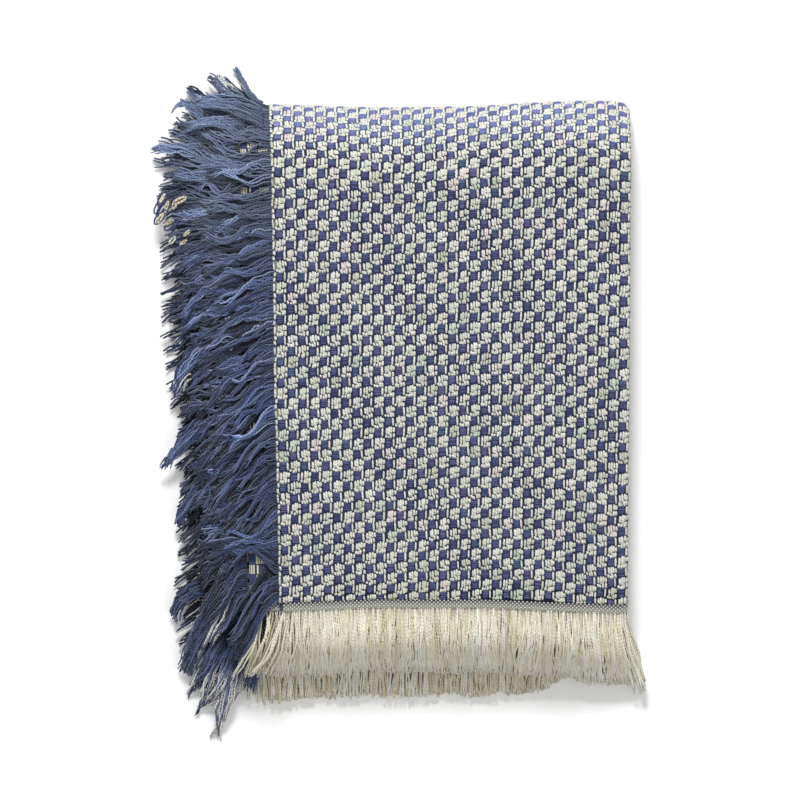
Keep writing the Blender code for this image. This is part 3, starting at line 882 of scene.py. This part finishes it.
def joined(parts):
    """Tubes and their tints, joined as one: points, triangles, UV places and tints."""
    starts = np.cumsum([0] + [len(part[0]) for part in parts[:-1]])
    faces = np.concatenate([part[1] + start for part, start in zip(parts, starts)])
    return [np.concatenate([part[k] for part in parts]) for k in (0, 2, 3)] + [faces]


def make_side_fringe(name, edge_x, layer, kind, reach, seed):
    rng = np.random.default_rng(seed)
    rows = along_rows(90, 30)
    share = np.linspace(0, 1, SIDE_STEPS)[None, :]
    lengths_here = run_lengths(rows)
    first_run = lengths_here[np.argmax(rows[:, 2] > 0.93)]
    palette = linear(BLUE_YARNS)
    mixed_palette = linear(MIXED_YARNS)
    parts = []
    for only_top, pitch, shortened, tone, raised, curl, clump in SIDE_PASSES:
        total = first_run if only_top else lengths_here[-1]
        places, middles, group = yarn_roots(rows, pitch, clump, rng, total)
        count = len(places)
        shared, single = clump_draws(rng, group)
        height = layer + rng.uniform(-0.9, 0.9, count)
        y, z = (value[:, None] for value in carried(row_at(rows, places), height))
        middle_y, middle_z = (value[:, None] for value in carried(row_at(rows, middles), height))

        length_share = column(SIDE_SWEEP, "length", y)
        is_pressed = (z < 2 * STRIP_PITCH) & (y < TOP_TURN_Y)
        length_share = np.where(is_pressed, np.minimum(length_share, PRESSED_LENGTH), length_share)
        lengths = np.where(is_pressed, PRESSED_REACH, reach) * shortened * SIDE_FRINGE_LENGTH * length_share
        lengths = lengths * shared(rng.normal, 1.0, 0.09) * single(0.95, 1.02)
        sweep_y = y + shared(rng.normal, 0, 14.0) * (y < UNEVEN_Y)
        sweep_y = sweep_y - shared(rng.uniform, 0, 30.0) * smooth((CORNER_Y - y) / CORNER_LENGTH)
        is_tuft = (kind == "over") & (tone > 0.5) & (y > TUFT_LOW_Y) & (y < TUFT_HIGH_Y) & only_top
        sweep_y = np.where(is_tuft, TUFT_SWEEP_Y, sweep_y)
        middle_y = np.where(is_tuft, TUFT_MIDDLE_Y, middle_y)
        span = SIDE_FARTHEST + SIDE_ROOT_DEPTH
        far = np.linspace(-SIDE_ROOT_DEPTH, SIDE_FARTHEST, int(span) + 1)[None, :]
        trial = side_flow(sweep_y, y, z, far, 0.0, edge_x, kind)
        out = -SIDE_ROOT_DEPTH + span * even_lengths(trial, lengths[:, 0] + SIDE_ROOT_DEPTH, SIDE_STEPS)

        pinch = 0.92 * smooth(1.7 * share) - 0.3 * smooth(2.6 * share - 1.6)
        bend = waves(share, shared(rng.uniform, 0.5, 1.3), shared(rng.random))
        wave = waves(share, single(1.8, 4.4), single(0, 1))
        aside = shared(rng.normal, 0, 3.5) * smooth(share) + (middle_y - y) * pinch
        aside = aside + curl * 0.5 * bend * smooth(2 * share) + single(0.5, 1.8) * wave * smooth(4 * share)
        aside = aside + single(-3.0, 3.0) * smooth(3.6 * share - 2.6)
        path = side_flow(sweep_y, y, z + (middle_z - z) * pinch, out, aside, edge_x, kind)
        arch = np.sin(np.pi * np.clip(share * 1.1, 0, 1)) ** 0.7
        lift = raised * (0.4 + shared(rng.random)) * on_top(z) * arch
        path[..., 2] = np.maximum(path[..., 2] + lift + single(-0.4, 0.9) * share, FLOOR_CLEARANCE)
        radii = MM * single(0.7, 1.05) * (0.95 + 0.2 * smooth(share * 3) - 0.25 * share ** 8)
        placed = lying(path)

        colour = palette[rng.choice(len(palette), count, p=BLUE_SHARES)]
        clump_tone = np.clip(shared(rng.normal, 1.0, 0.2), 0.55, 1.5)
        # Painted light: the yarns turn paler and greyer towards the top, and the deep passes are less dark
        # there.
        painted_top_light = painted_top_light_share(y)
        colour = colour + painted_top_light * (linear(PAINTED_TOP_BLUE) - colour)
        painted_light_here = (tone + 0.32 * painted_top_light * (0.8 - tone)) * column(SIDE_PAINTED_LIGHT, "tone", y)
        colour = colour * np.minimum(painted_light_here * single(0.75, 1.25) * clump_tone, BRIGHTEST_TONE)
        # Painted shade: each yarn is darker near its root, inside the pile, and lighter towards its tip.
        fade = ((0.85 + 0.6 * smooth(share * 1.3 - 0.3)) * hollow_shade(placed))[..., None, None]
        is_mixed = (kind == "under") & (y < MIXED_Y) & (z > MIXED_Z) & (single(0, 1) < MIXED_SHARE)
        is_mixed = (is_mixed * smooth(4 * share - 2.2))[..., None, None]
        mixed_colour = mixed_palette[rng.choice(len(mixed_palette), count)][:, None, None, :]
        tint = colour[:, None, None, :] * fade * (1 - is_mixed) + mixed_colour * is_mixed
        tint = np.broadcast_to(np.clip(tint, 0, 1), (count, SIDE_STEPS, YARN_SIDES, 3))
        twist_start = rng.uniform(0, 9, count)
        keep = ~is_parted(placed) if kind == "over" else np.full(count, True)
        parts.append((*tubes(placed[keep], radii[keep], twist_start[keep]), tint[keep].reshape(-1, 3)))
    points, uv, tint, faces = joined(parts)
    piece = make_piece(name, points, faces, tinted_yarn(name, 0.25, 0.3), uv, tint)
    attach(piece, "root")
    return piece


OVER_LAYER = STRIP_THICKNESS - CLOTH_THICKNESS / 2
UNDER_LAYER = OVER_LAYER - LAYER_PITCH
over_side = make_side_fringe("blue_fringe_over", OVER_EDGE_X, OVER_LAYER, "over", 0.96, 21)
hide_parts("side_fringe_over")
under_side = make_side_fringe("blue_fringe_under", UNDER_EDGE_X, UNDER_LAYER, "under", 0.82, 22)
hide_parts("side_fringe_under")

# The thick tufts of the blue fringe
# Here and there many blue yarns cling together in a thick tuft with a brushed end. The largest are on
# the upper edge low down and at the corner, where undyed silver and cream yarns hang out.
TUFT_YARN_RADIUS = 0.9
TUFT_STEPS = 11
STRAND_YARNS = 6
# Each tuft is a row: its root, a place half way and its end as it lies, in millimetres, its widths
# there, how many yarns it has, its tone, and the share of them that turns silver towards the end.
# Their tone is painted light, as along the edge: the tufts low down are darker and those near the top
# lighter.
TUFTS = (
    ((-104, -104, 54), (-140, -105, 45), (-173, -123, 32), (46, 9, 26), 54, 1.05, 0.00),
    ((-104, -151, 54), (-133, -176, 40), (-166, -221, 16), (26, 16, 20), 48, 0.72, 0.00),
    ((-104, -169, 54), (-122, -194, 37), (-150, -236, 12), (30, 18, 26), 54, 0.88, 0.00),
    ((-105, -182, 52), (-119, -212, 25), (-135, -257, 9), (16, 14, 24), 44, 0.72, 0.00),
    ((-162, -166, 20), (-190, -175, 21), (-202, -196, 8), (20, 14, 18), 34, 0.62, 0.00),
    ((-158, -176, 22), (-178, -208, 26), (-192, -242, 10), (30, 18, 22), 54, 0.55, 0.00),
    ((-149, -194, 22), (-166, -226, 24), (-182, -252, 10), (30, 18, 20), 46, 0.62, 0.00),
    ((-156, -212, 12), (-171, -238, 14), (-191, -264, 4), (16, 10, 10), 26, 0.62, 0.25),
    ((-153, -226, 8), (-171, -256, 10), (-184, -281, 3), (8, 5, 5), 12, 0.60, 0.10),
    ((-146, -209, 22), (-160, -246, 24), (-176, -272, 6), (20, 18, 16), 34, 1.00, 0.95),
    ((-144, -212, 22), (-154, -256, 20), (-164, -301, 3), (20, 14, 10), 36, 0.80, 0.85),
    ((-141, -217, 22), (-148, -246, 22), (-153, -268, 8), (18, 18, 18), 38, 0.95, 0.95),
    ((-174, -19, 26), (-193, -32, 27), (-210, -59, 18), (20, 11, 14), 32, 0.85, 0.00),
    ((-174, 254, 32), (-190, 273, 35), (-204, 265, 26), (16, 8, 10), 26, 1.15, 0.00),
    ((-176, 229, 28), (-200, 231, 25), (-222, 231, 14), (18, 8, 11), 24, 1.10, 0.00),
    ((-104, 49, 54), (-132, 17, 49), (-150, -29, 38), (22, 8, 13), 34, 1.00, 0.00),
    ((-122, 4, 42), (-150, -32, 39), (-170, -62, 32), (22, 8, 13), 34, 0.90, 0.00),
    ((-165, 58, 30), (-187, 41, 29), (-203, 11, 20), (22, 13, 17), 36, 0.95, 0.00),
    ((-142, -46, 40), (-158, -68, 37), (-172, -97, 28), (20, 9, 12), 30, 0.85, 0.00),
    ((-165, -68, 24), (-185, -86, 23), (-200, -108, 14), (20, 11, 14), 30, 0.70, 0.00),
    ((-147, 112, 40), (-174, 101, 35), (-194, 77, 24), (22, 9, 13), 34, 0.90, 0.00),
    ((-142, 179, 40), (-171, 173, 37), (-194, 171, 26), (22, 9, 14), 36, 1.25, 0.00),
    ((-138, 247, 38), (-167, 254, 37), (-191, 252, 26), (22, 9, 14), 34, 1.20, 0.00),
    ((-122, 266, 40), (-138, 284, 33), (-148, 302, 28), (12, 7, 9), 20, 0.75, 0.20),
    ((-131, 264, 40), (-152, 281, 33), (-165, 294, 28), (12, 8, 10), 22, 0.75, 0.15),
    ((-122, 258, 42), (-156, 272, 39), (-183, 273, 30), (18, 13, 17), 40, 1.10, 0.00),
    ((-150, 205, 38), (-178, 206, 35), (-202, 203, 24), (20, 10, 15), 34, 1.05, 0.00),
    ((-150, 140, 36), (-176, 134, 33), (-199, 122, 22), (20, 10, 15), 32, 0.90, 0.00),
)


def at_rest(points):
    """Points in millimetres as they lie, from the middle of the weave's own plan, in metres."""
    return MM * (points - PILE_MIDDLE)


def make_tufts():
    rng = np.random.default_rng(41)
    share = np.linspace(0, 1, TUFT_STEPS)[None, :]
    palette = linear(BLUE_YARNS)
    silver = linear(MIXED_YARNS)
    parts = []
    for start, middle, tip, widths, count, tone, silver_share in TUFTS:
        heading = np.subtract(tip, start)[:2]
        aside = np.array((-heading[1], heading[0], 0.0)) / np.linalg.norm(heading)
        aside = aside * np.sign(aside[1])
        place = rng.uniform(-0.5, 0.5, (count, 1))
        root = start + place * (0.0, widths[0], 0.0) + rng.uniform(-0.8, 0.8, (count, 1)) * (0.0, 0.0, 1.0)
        strands = max(3, count // STRAND_YARNS)
        strand = rng.uniform(-0.5, 0.5, (strands, 3))[rng.integers(0, strands, count)]
        neck = middle + (0.7 * place + 0.7 * strand[:, :1]) * widths[1] * aside
        neck = neck + rng.uniform(-0.25, 0.25, (count, 1)) * (0.0, 0.0, widths[1])
        spread = 0.35 * place + 0.5 * strand[:, 1:2] + 0.3 * rng.uniform(-0.5, 0.5, (count, 1))
        end = tip + spread * widths[2] * aside + rng.uniform(-0.16, 0.16, (count, 1)) * (0.0, 0.0, widths[2])
        control = 2 * neck - (root + end) / 2
        t = (share * rng.uniform(0.84, 1.05, (count, 1)))[..., None]
        path = (1 - t) ** 2 * root[:, None] + 2 * t * (1 - t) * control[:, None] + t ** 2 * end[:, None]
        wave = waves(share, rng.uniform(1.2, 3.6, (count, 1)), rng.random((count, 1)))
        wave = wave * rng.uniform(0.4, 1.9, (count, 1)) * smooth(3 * share)
        wave = wave + 2.0 * strand[:, 2:] * np.sin(np.pi * (1.6 * share + strand[:, :1]))
        path = path + wave[..., None] * aside
        path[..., 2] = np.maximum(path[..., 2], FLOOR_CLEARANCE)
        radii = MM * TUFT_YARN_RADIUS * rng.uniform(0.8, 1.15, (count, 1)) * (1 - 0.3 * share ** 8)
        colour = palette[rng.choice(len(palette), count)]
        # Painted light: the tufts near the top turn paler and greyer.
        colour = colour + painted_top_light_share(start[1]) * (linear(PAINTED_TOP_BLUE) - colour)
        colour = colour * np.minimum(tone * rng.uniform(0.7, 1.3, (count, 1)), BRIGHTEST_TONE)
        # Painted shade: each tuft's yarns are darker near the root and lighter towards the end.
        fade = ((0.7 + 0.65 * smooth(share)) * hollow_shade(at_rest(path)))[..., None]
        turned = ((rng.random((count, 1)) < silver_share) * smooth(3.2 * share - 1.2))[..., None]
        pale = silver[rng.choice(len(silver), count)][:, None]
        tint = colour[:, None] * fade * (1 - turned) + pale * turned
        tint = np.repeat(np.clip(tint, 0, 1)[:, :, None], YARN_SIDES, axis=2).reshape(-1, 3)
        parts.append((*tubes(at_rest(path), radii, rng.uniform(0, 9, count)), tint))
    points, uv, tint, faces = joined(parts)
    piece = make_piece("blue_tufts", points, faces, tinted_yarn("blue_tufts", 0.25, 0.3), uv, tint)
    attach(piece, "root")


make_tufts()

# The loose loops and ends in the blue fringe
# A few cream and blue yarns come out of the fringe at the left as a tangle of small loops, and two as
# open bends.
LOOP_STEPS = 17
LOOP_RISE = 0.8
# Each is a row: where its middle lies across and along the pile, how high, its length and width, how it
# is turned, how much of the loop there is, the yarn's radius, and its colour.
LOOSE_YARNS = (
    (-213.0, 186.0, 25.0, 8.0, 1.5, 60, 1.0, 1.4, (222, 214, 194)),
    (-213.0, 185.0, 24.0, 14.0, 7.0, 60, 1.0, 0.8, (58, 62, 104)),
    (-197.0, 184.0, 26.0, 13.0, 3.5, 25, 1.0, 1.7, (206, 196, 172)),
    (-198.0, 184.0, 25.0, 19.0, 8.0, 25, 1.0, 0.9, (64, 68, 108)),
    (-202.0, 180.0, 25.0, 7.0, 3.0, 70, 1.0, 1.3, (214, 204, 190)),
    (-217.0, 178.0, 23.0, 13.0, 5.0, 64, 1.0, 0.9, (84, 82, 140)),
    (-214.0, 176.0, 24.0, 15.0, 5.0, 58, 1.0, 0.9, (60, 66, 118)),
    (-212.0, 172.0, 25.0, 14.0, 5.0, 62, 1.0, 0.9, (84, 92, 150)),
    (-216.0, 168.0, 23.0, 13.0, 6.0, 55, 1.0, 0.9, (66, 64, 116)),
    (-209.0, 179.0, 26.0, 9.0, 2.0, 72, 1.0, 1.1, (204, 200, 168)),
    (-215.0, 168.0, 25.0, 10.0, 2.6, 58, 1.0, 1.4, (214, 206, 184)),
    (-207.0, 164.0, 25.0, 9.0, 1.8, 28, 1.0, 1.1, (196, 188, 166)),
    (-205.0, 162.0, 24.0, 15.0, 6.0, 38, 1.0, 0.9, (70, 78, 134)),
    (-190.0, 155.0, 27.0, 10.0, 2.0, 40, 1.0, 1.2, (214, 206, 184)),
    (-190.0, 154.0, 26.0, 16.0, 6.0, 42, 1.0, 0.8, (46, 50, 88)),
    (-194.0, 146.0, 26.0, 7.0, 1.8, 34, 1.0, 1.1, (206, 198, 176)),
    (-204.0, 148.0, 22.0, 8.0, 3.0, 50, 1.0, 1.1, (226, 226, 214)),
    (-192.0, 21.0, 29.0, 15.0, 4.0, 52, 0.5, 0.9, (226, 220, 198)),
    (-190.0, 17.0, 29.0, 12.0, 4.0, 60, 0.5, 0.9, (206, 200, 178)),
)


def make_loose_yarns():
    paths = []
    tints = []
    radii = []
    for x, y, z, length, width, turn, share, radius, colour in LOOSE_YARNS:
        angle = np.linspace(0, 2 * np.pi * share, LOOP_STEPS)
        along = length / 2 * np.cos(angle)
        aside = width / 2 * np.sin(angle)
        turn = math.radians(turn)
        paths.append(np.stack((
            x + along * math.cos(turn) - aside * math.sin(turn),
            y + along * math.sin(turn) + aside * math.cos(turn),
            z + LOOP_RISE * np.sin(angle * 2 + x),
        ), axis=-1))
        tints.append(linear(colour))
        radii.append(np.full(LOOP_STEPS, MM * radius))
    points, faces, uv = tubes(at_rest(np.array(paths)), np.array(radii), np.zeros(len(paths)))
    tint = np.repeat(np.array(tints), LOOP_STEPS * YARN_SIDES, axis=0)
    piece = make_piece("loose_yarns", points, faces, tinted_yarn("loose_yarns", 0.2, 0.3), uv, tint)
    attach(piece, "root")


make_loose_yarns()

# The cream end fringes
# Soft cream warp yarns run on past a narrow plain-woven band at each end of the cloth, on every layer.
# They hang straight down the page, thick and brushed, and the corner ones fan out.
END_FRINGE_LENGTH = 66.0
END_STEPS = 9
# A yarn starts inside its band, is followed this far out, and is measured at this many marks.
END_MARKS = 31
END_ROOT_DEPTH = 1.0
END_FARTHEST = 90.0
# The yarns of the upper corner fan out: from this place on, over this width, this share of them.
FLARE_X = -96.0
FLARE_WIDTH = 12.0
FLARE_REACH = 38.0
FLARE_RISE = 8.0
FLARED_SHARE = 0.35
CREAM_YARNS = ((242, 237, 219), (234, 229, 206), (247, 244, 232), (220, 211, 181), (240, 234, 212))
BRUSHED_TIP = (252, 249, 240)
ROOT_NAVY = (40, 44, 66)
ROOT_CHECK = 0.6
# The plain band: its colours, the spacing of its checks each way, how far out the navy fades, and half
# its thickness.
BAND_CREAM = (210, 210, 198)
BAND_NAVY = (12, 16, 44)
BAND_CHECK = (3.8, 3.4)
BAND_FADE = 13.0
BAND_HALF = 1.15
# Each pass of yarns is a row: whether it is on the top layer alone, the space between roots, its tone,
# its radius, how far it spreads, and how white its end is brushed.
END_PASSES = (
    (False, 2.0, 1.05, 1.25, 0.8, 0.1),
    (False, 2.4, 1.2, 0.85, 1.0, 0.2),
    (True, 1.8, 1.08, 1.2, 0.8, 0.5),
    (True, 1.7, 1.26, 0.8, 1.4, 0.7),
    (True, 1.4, 1.4, 0.65, 2.4, 0.9),
)
# How a yarn sweeps aside for each unit out, and its share of the full length on the upper end and on
# the one below.
END_SWEEP = {
    "x": (-145.0, -90.0, 0.0, 120.0, 150.0, 185.0, 212.0),
    "sweep": (-0.02, -0.02, 0.02, -0.02, 0.04, 0.1, 0.38),
    "over": (1.0, 1.0, 1.0, 1.0, 1.04, 1.08, 1.08),
    "under": (1.0, 1.0, 1.0, 0.96, 0.74, 0.68, 0.68),
}


def end_flow(root_x, x, z, out, aside, end_y):
    """A cream yarn's place, squarely folded, once it is this far out from the band on its end."""
    y = end_y - EDGE_GAP - END_BAND_WIDTH - out
    reach = np.maximum(out, 0.0)
    new_x = x + column(END_SWEEP, "sweep", root_x) * reach * reach / (reach + SWEEP_START) + aside
    return np.stack(np.broadcast_arrays(new_x, y, settled(new_x, y, z)), axis=-1)


def band_material():
    """A fine plain weave of cream and navy that turns to all cream at the fringe."""
    material, tree, shader = yarn_material("plain_band", 0.92, 0.1)
    _, u, v = uv_axes(tree)
    warp, weft = (
        maths(tree, "SINE", maths(tree, "MULTIPLY", place, 2 * math.pi / spacing))
        for place, spacing in zip((u, v), BAND_CHECK)
    )
    check = maths(tree, "MULTIPLY", warp, weft)
    fade = maths(tree, "SUBTRACT", 1.0, maths(tree, "DIVIDE", v, BAND_FADE))
    dark = maths(tree, "MULTIPLY", maths(tree, "GREATER_THAN", check, -0.3), fade)
    tree.links.new(mixed(tree, dark, BAND_CREAM, BAND_NAVY), shader.inputs["Base Color"])
    bumped(tree, shader, maths(tree, "SUBTRACT", maths(tree, "ABSOLUTE", warp), dark), 0.0008, 0.7)
    return material


PLAIN_BAND = band_material()


def make_end_fringe(name, end_y, which, kind, reach, seed):
    rng = np.random.default_rng(seed)
    rows = across_rows(60, 20)
    ends = along_rows(2, 2)[which]
    lengths_here = run_lengths(rows)
    first_run = lengths_here[np.argmax(rows[:, 2] > 0.9)]
    palette = linear(CREAM_YARNS)
    parts = []
    share = np.linspace(0, 1, END_STEPS)[None, :]
    for only_top, pitch, tone, radius, spread, whiteness in END_PASSES:
        total = first_run if only_top else lengths_here[-1]
        places, middles, group = yarn_roots(rows, pitch, rng.uniform(8.0, 13.0), rng, total)
        count = len(places)
        shared, single = clump_draws(rng, group)
        root = row_at(rows, places)
        middle = row_at(rows, middles)
        offset = rng.uniform(-1.0, 1.0, count)
        x = (root[:, 0] + root[:, 2] * offset)[:, None]
        z = carried(ends, root[:, 1] + root[:, 3] * offset)[1][:, None]
        middle_x = (middle[:, 0] + middle[:, 2] * offset)[:, None]
        middle_z = carried(ends, middle[:, 1] + middle[:, 3] * offset)[1][:, None]
        lengths = reach * END_FRINGE_LENGTH * shared(rng.normal, 1.0, 0.03) * single(0.97, 1.02)
        lengths = lengths * column(END_SWEEP, kind, x)
        span = END_FARTHEST + END_ROOT_DEPTH
        far = np.linspace(-END_ROOT_DEPTH, END_FARTHEST, int(span) + 1)[None, :]
        marks = even_lengths(end_flow(x, x, z, far, 0.0, end_y), lengths[:, 0] + END_ROOT_DEPTH, END_MARKS)
        out = np.stack([np.interp(share[0], np.linspace(0, 1, END_MARKS), line) for line in marks])
        out = -END_ROOT_DEPTH + span * out

        is_top = on_top(z)
        pinch = 0.42 * smooth(2.0 * share) - 0.25 * smooth(2.4 * share - 1.4)
        flare = smooth((FLARE_X - x) / FLARE_WIDTH) * is_top * (0.05 + 0.95 * (single(0, 1) < FLARED_SHARE))
        bend = waves(share, shared(rng.uniform, 0.4, 1.0), shared(rng.random))
        wave = waves(share, single(0.8, 2.4), single(0, 1))
        aside = shared(rng.normal, 0, 1.8) * smooth(share) + (middle_x - x) * pinch
        aside = aside + 1.6 * bend * smooth(2 * share) + single(0.3, 1.1) * wave * smooth(2.5 * share)
        aside = aside + rng.normal(0, spread, (count, 1)) * share ** 3
        aside = aside - flare * FLARE_REACH * share * single(0.5, 1.1)
        path = end_flow(x, x, z + (middle_z - z) * pinch, out, aside, end_y)
        arch = np.sin(np.pi * np.clip(share * 1.05, 0, 1))
        lift = (0.5 + 2.6 * shared(rng.random) * tone) * is_top * arch
        rise = lift + flare * FLARE_RISE * smooth(2 * share)
        path[..., 2] = np.maximum(path[..., 2] + rise, FLOOR_CLEARANCE)
        radii = MM * radius * single(0.8, 1.15) * (0.92 + 0.3 * smooth(share * 2) - 0.25 * share ** 8)

        colour = palette[rng.choice(len(palette), count)] * single(0.88, 1.08) * tone
        # Painted shade: each cream yarn is darker near its root, by the band, and lighter towards its end.
        fade = (0.84 + 0.2 * smooth(share * 1.5 - 0.3))[..., None, None]
        white = (whiteness * is_top * smooth(share * 1.7 - 0.7))[..., None, None]
        tint = np.clip(colour[:, None, None, :] * fade * (1 - white) + linear(BRUSHED_TIP) * white, 0, 1)
        every_other = (np.arange(count) % 2)[:, None]
        checked = (ROOT_CHECK * every_other * (share < 0.5 / END_STEPS))[..., None, None]
        tint = tint * (1 - checked) + linear(ROOT_NAVY) * checked
        tint = np.broadcast_to(tint, (count, END_STEPS, YARN_SIDES, 3)).reshape(-1, 3)
        parts.append((*tubes(lying(path), radii, rng.uniform(0, 9, count)), tint))
    points, uv, tint, faces = joined(parts)
    piece = make_piece(name, points, faces, tinted_yarn(name, 0.2, 0.06), uv, tint)
    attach(piece, "root")
    return piece


def make_band(name, end_y, which):
    """The plain-woven band between the end of the cloth and its fringe."""
    rows = across_rows(60, 16)
    ends = along_rows(2, 2)[which]
    depths = np.linspace(0.0, END_BAND_WIDTH, 4)
    loops = []
    for side in (BAND_HALF, -BAND_HALF):
        x = rows[:, 0] + rows[:, 2] * side
        _, z = carried(ends, rows[:, 1] + rows[:, 3] * side)
        for depth in depths if side > 0 else depths[::-1]:
            loops.append(np.stack((x, np.full_like(x, end_y - EDGE_GAP - depth), z), axis=-1))
    loops.append(loops[0])
    grid = np.stack(loops)
    faces = grid_faces(len(loops), len(rows))
    u = np.broadcast_to(run_lengths(rows)[None, :], grid.shape[:2])
    v = np.abs(grid[..., 1] - end_y)
    uv = np.stack((u, v), axis=-1).reshape(-1, 2)
    piece = make_piece(name, lying(grid.reshape(-1, 3)), faces[:, ::-1], PLAIN_BAND, uv)
    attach(piece, "root")


over_end = make_end_fringe("cream_fringe_over", OVER_END_Y, 0, "over", 1.14, 31)
make_band("end_band_over", OVER_END_Y, 0)
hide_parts("end_fringe_over")
under_end = make_end_fringe("cream_fringe_under", UNDER_END_Y, -1, "under", 1.17, 32)
make_band("end_band_under", UNDER_END_Y, -1)
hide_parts("end_fringe_under")
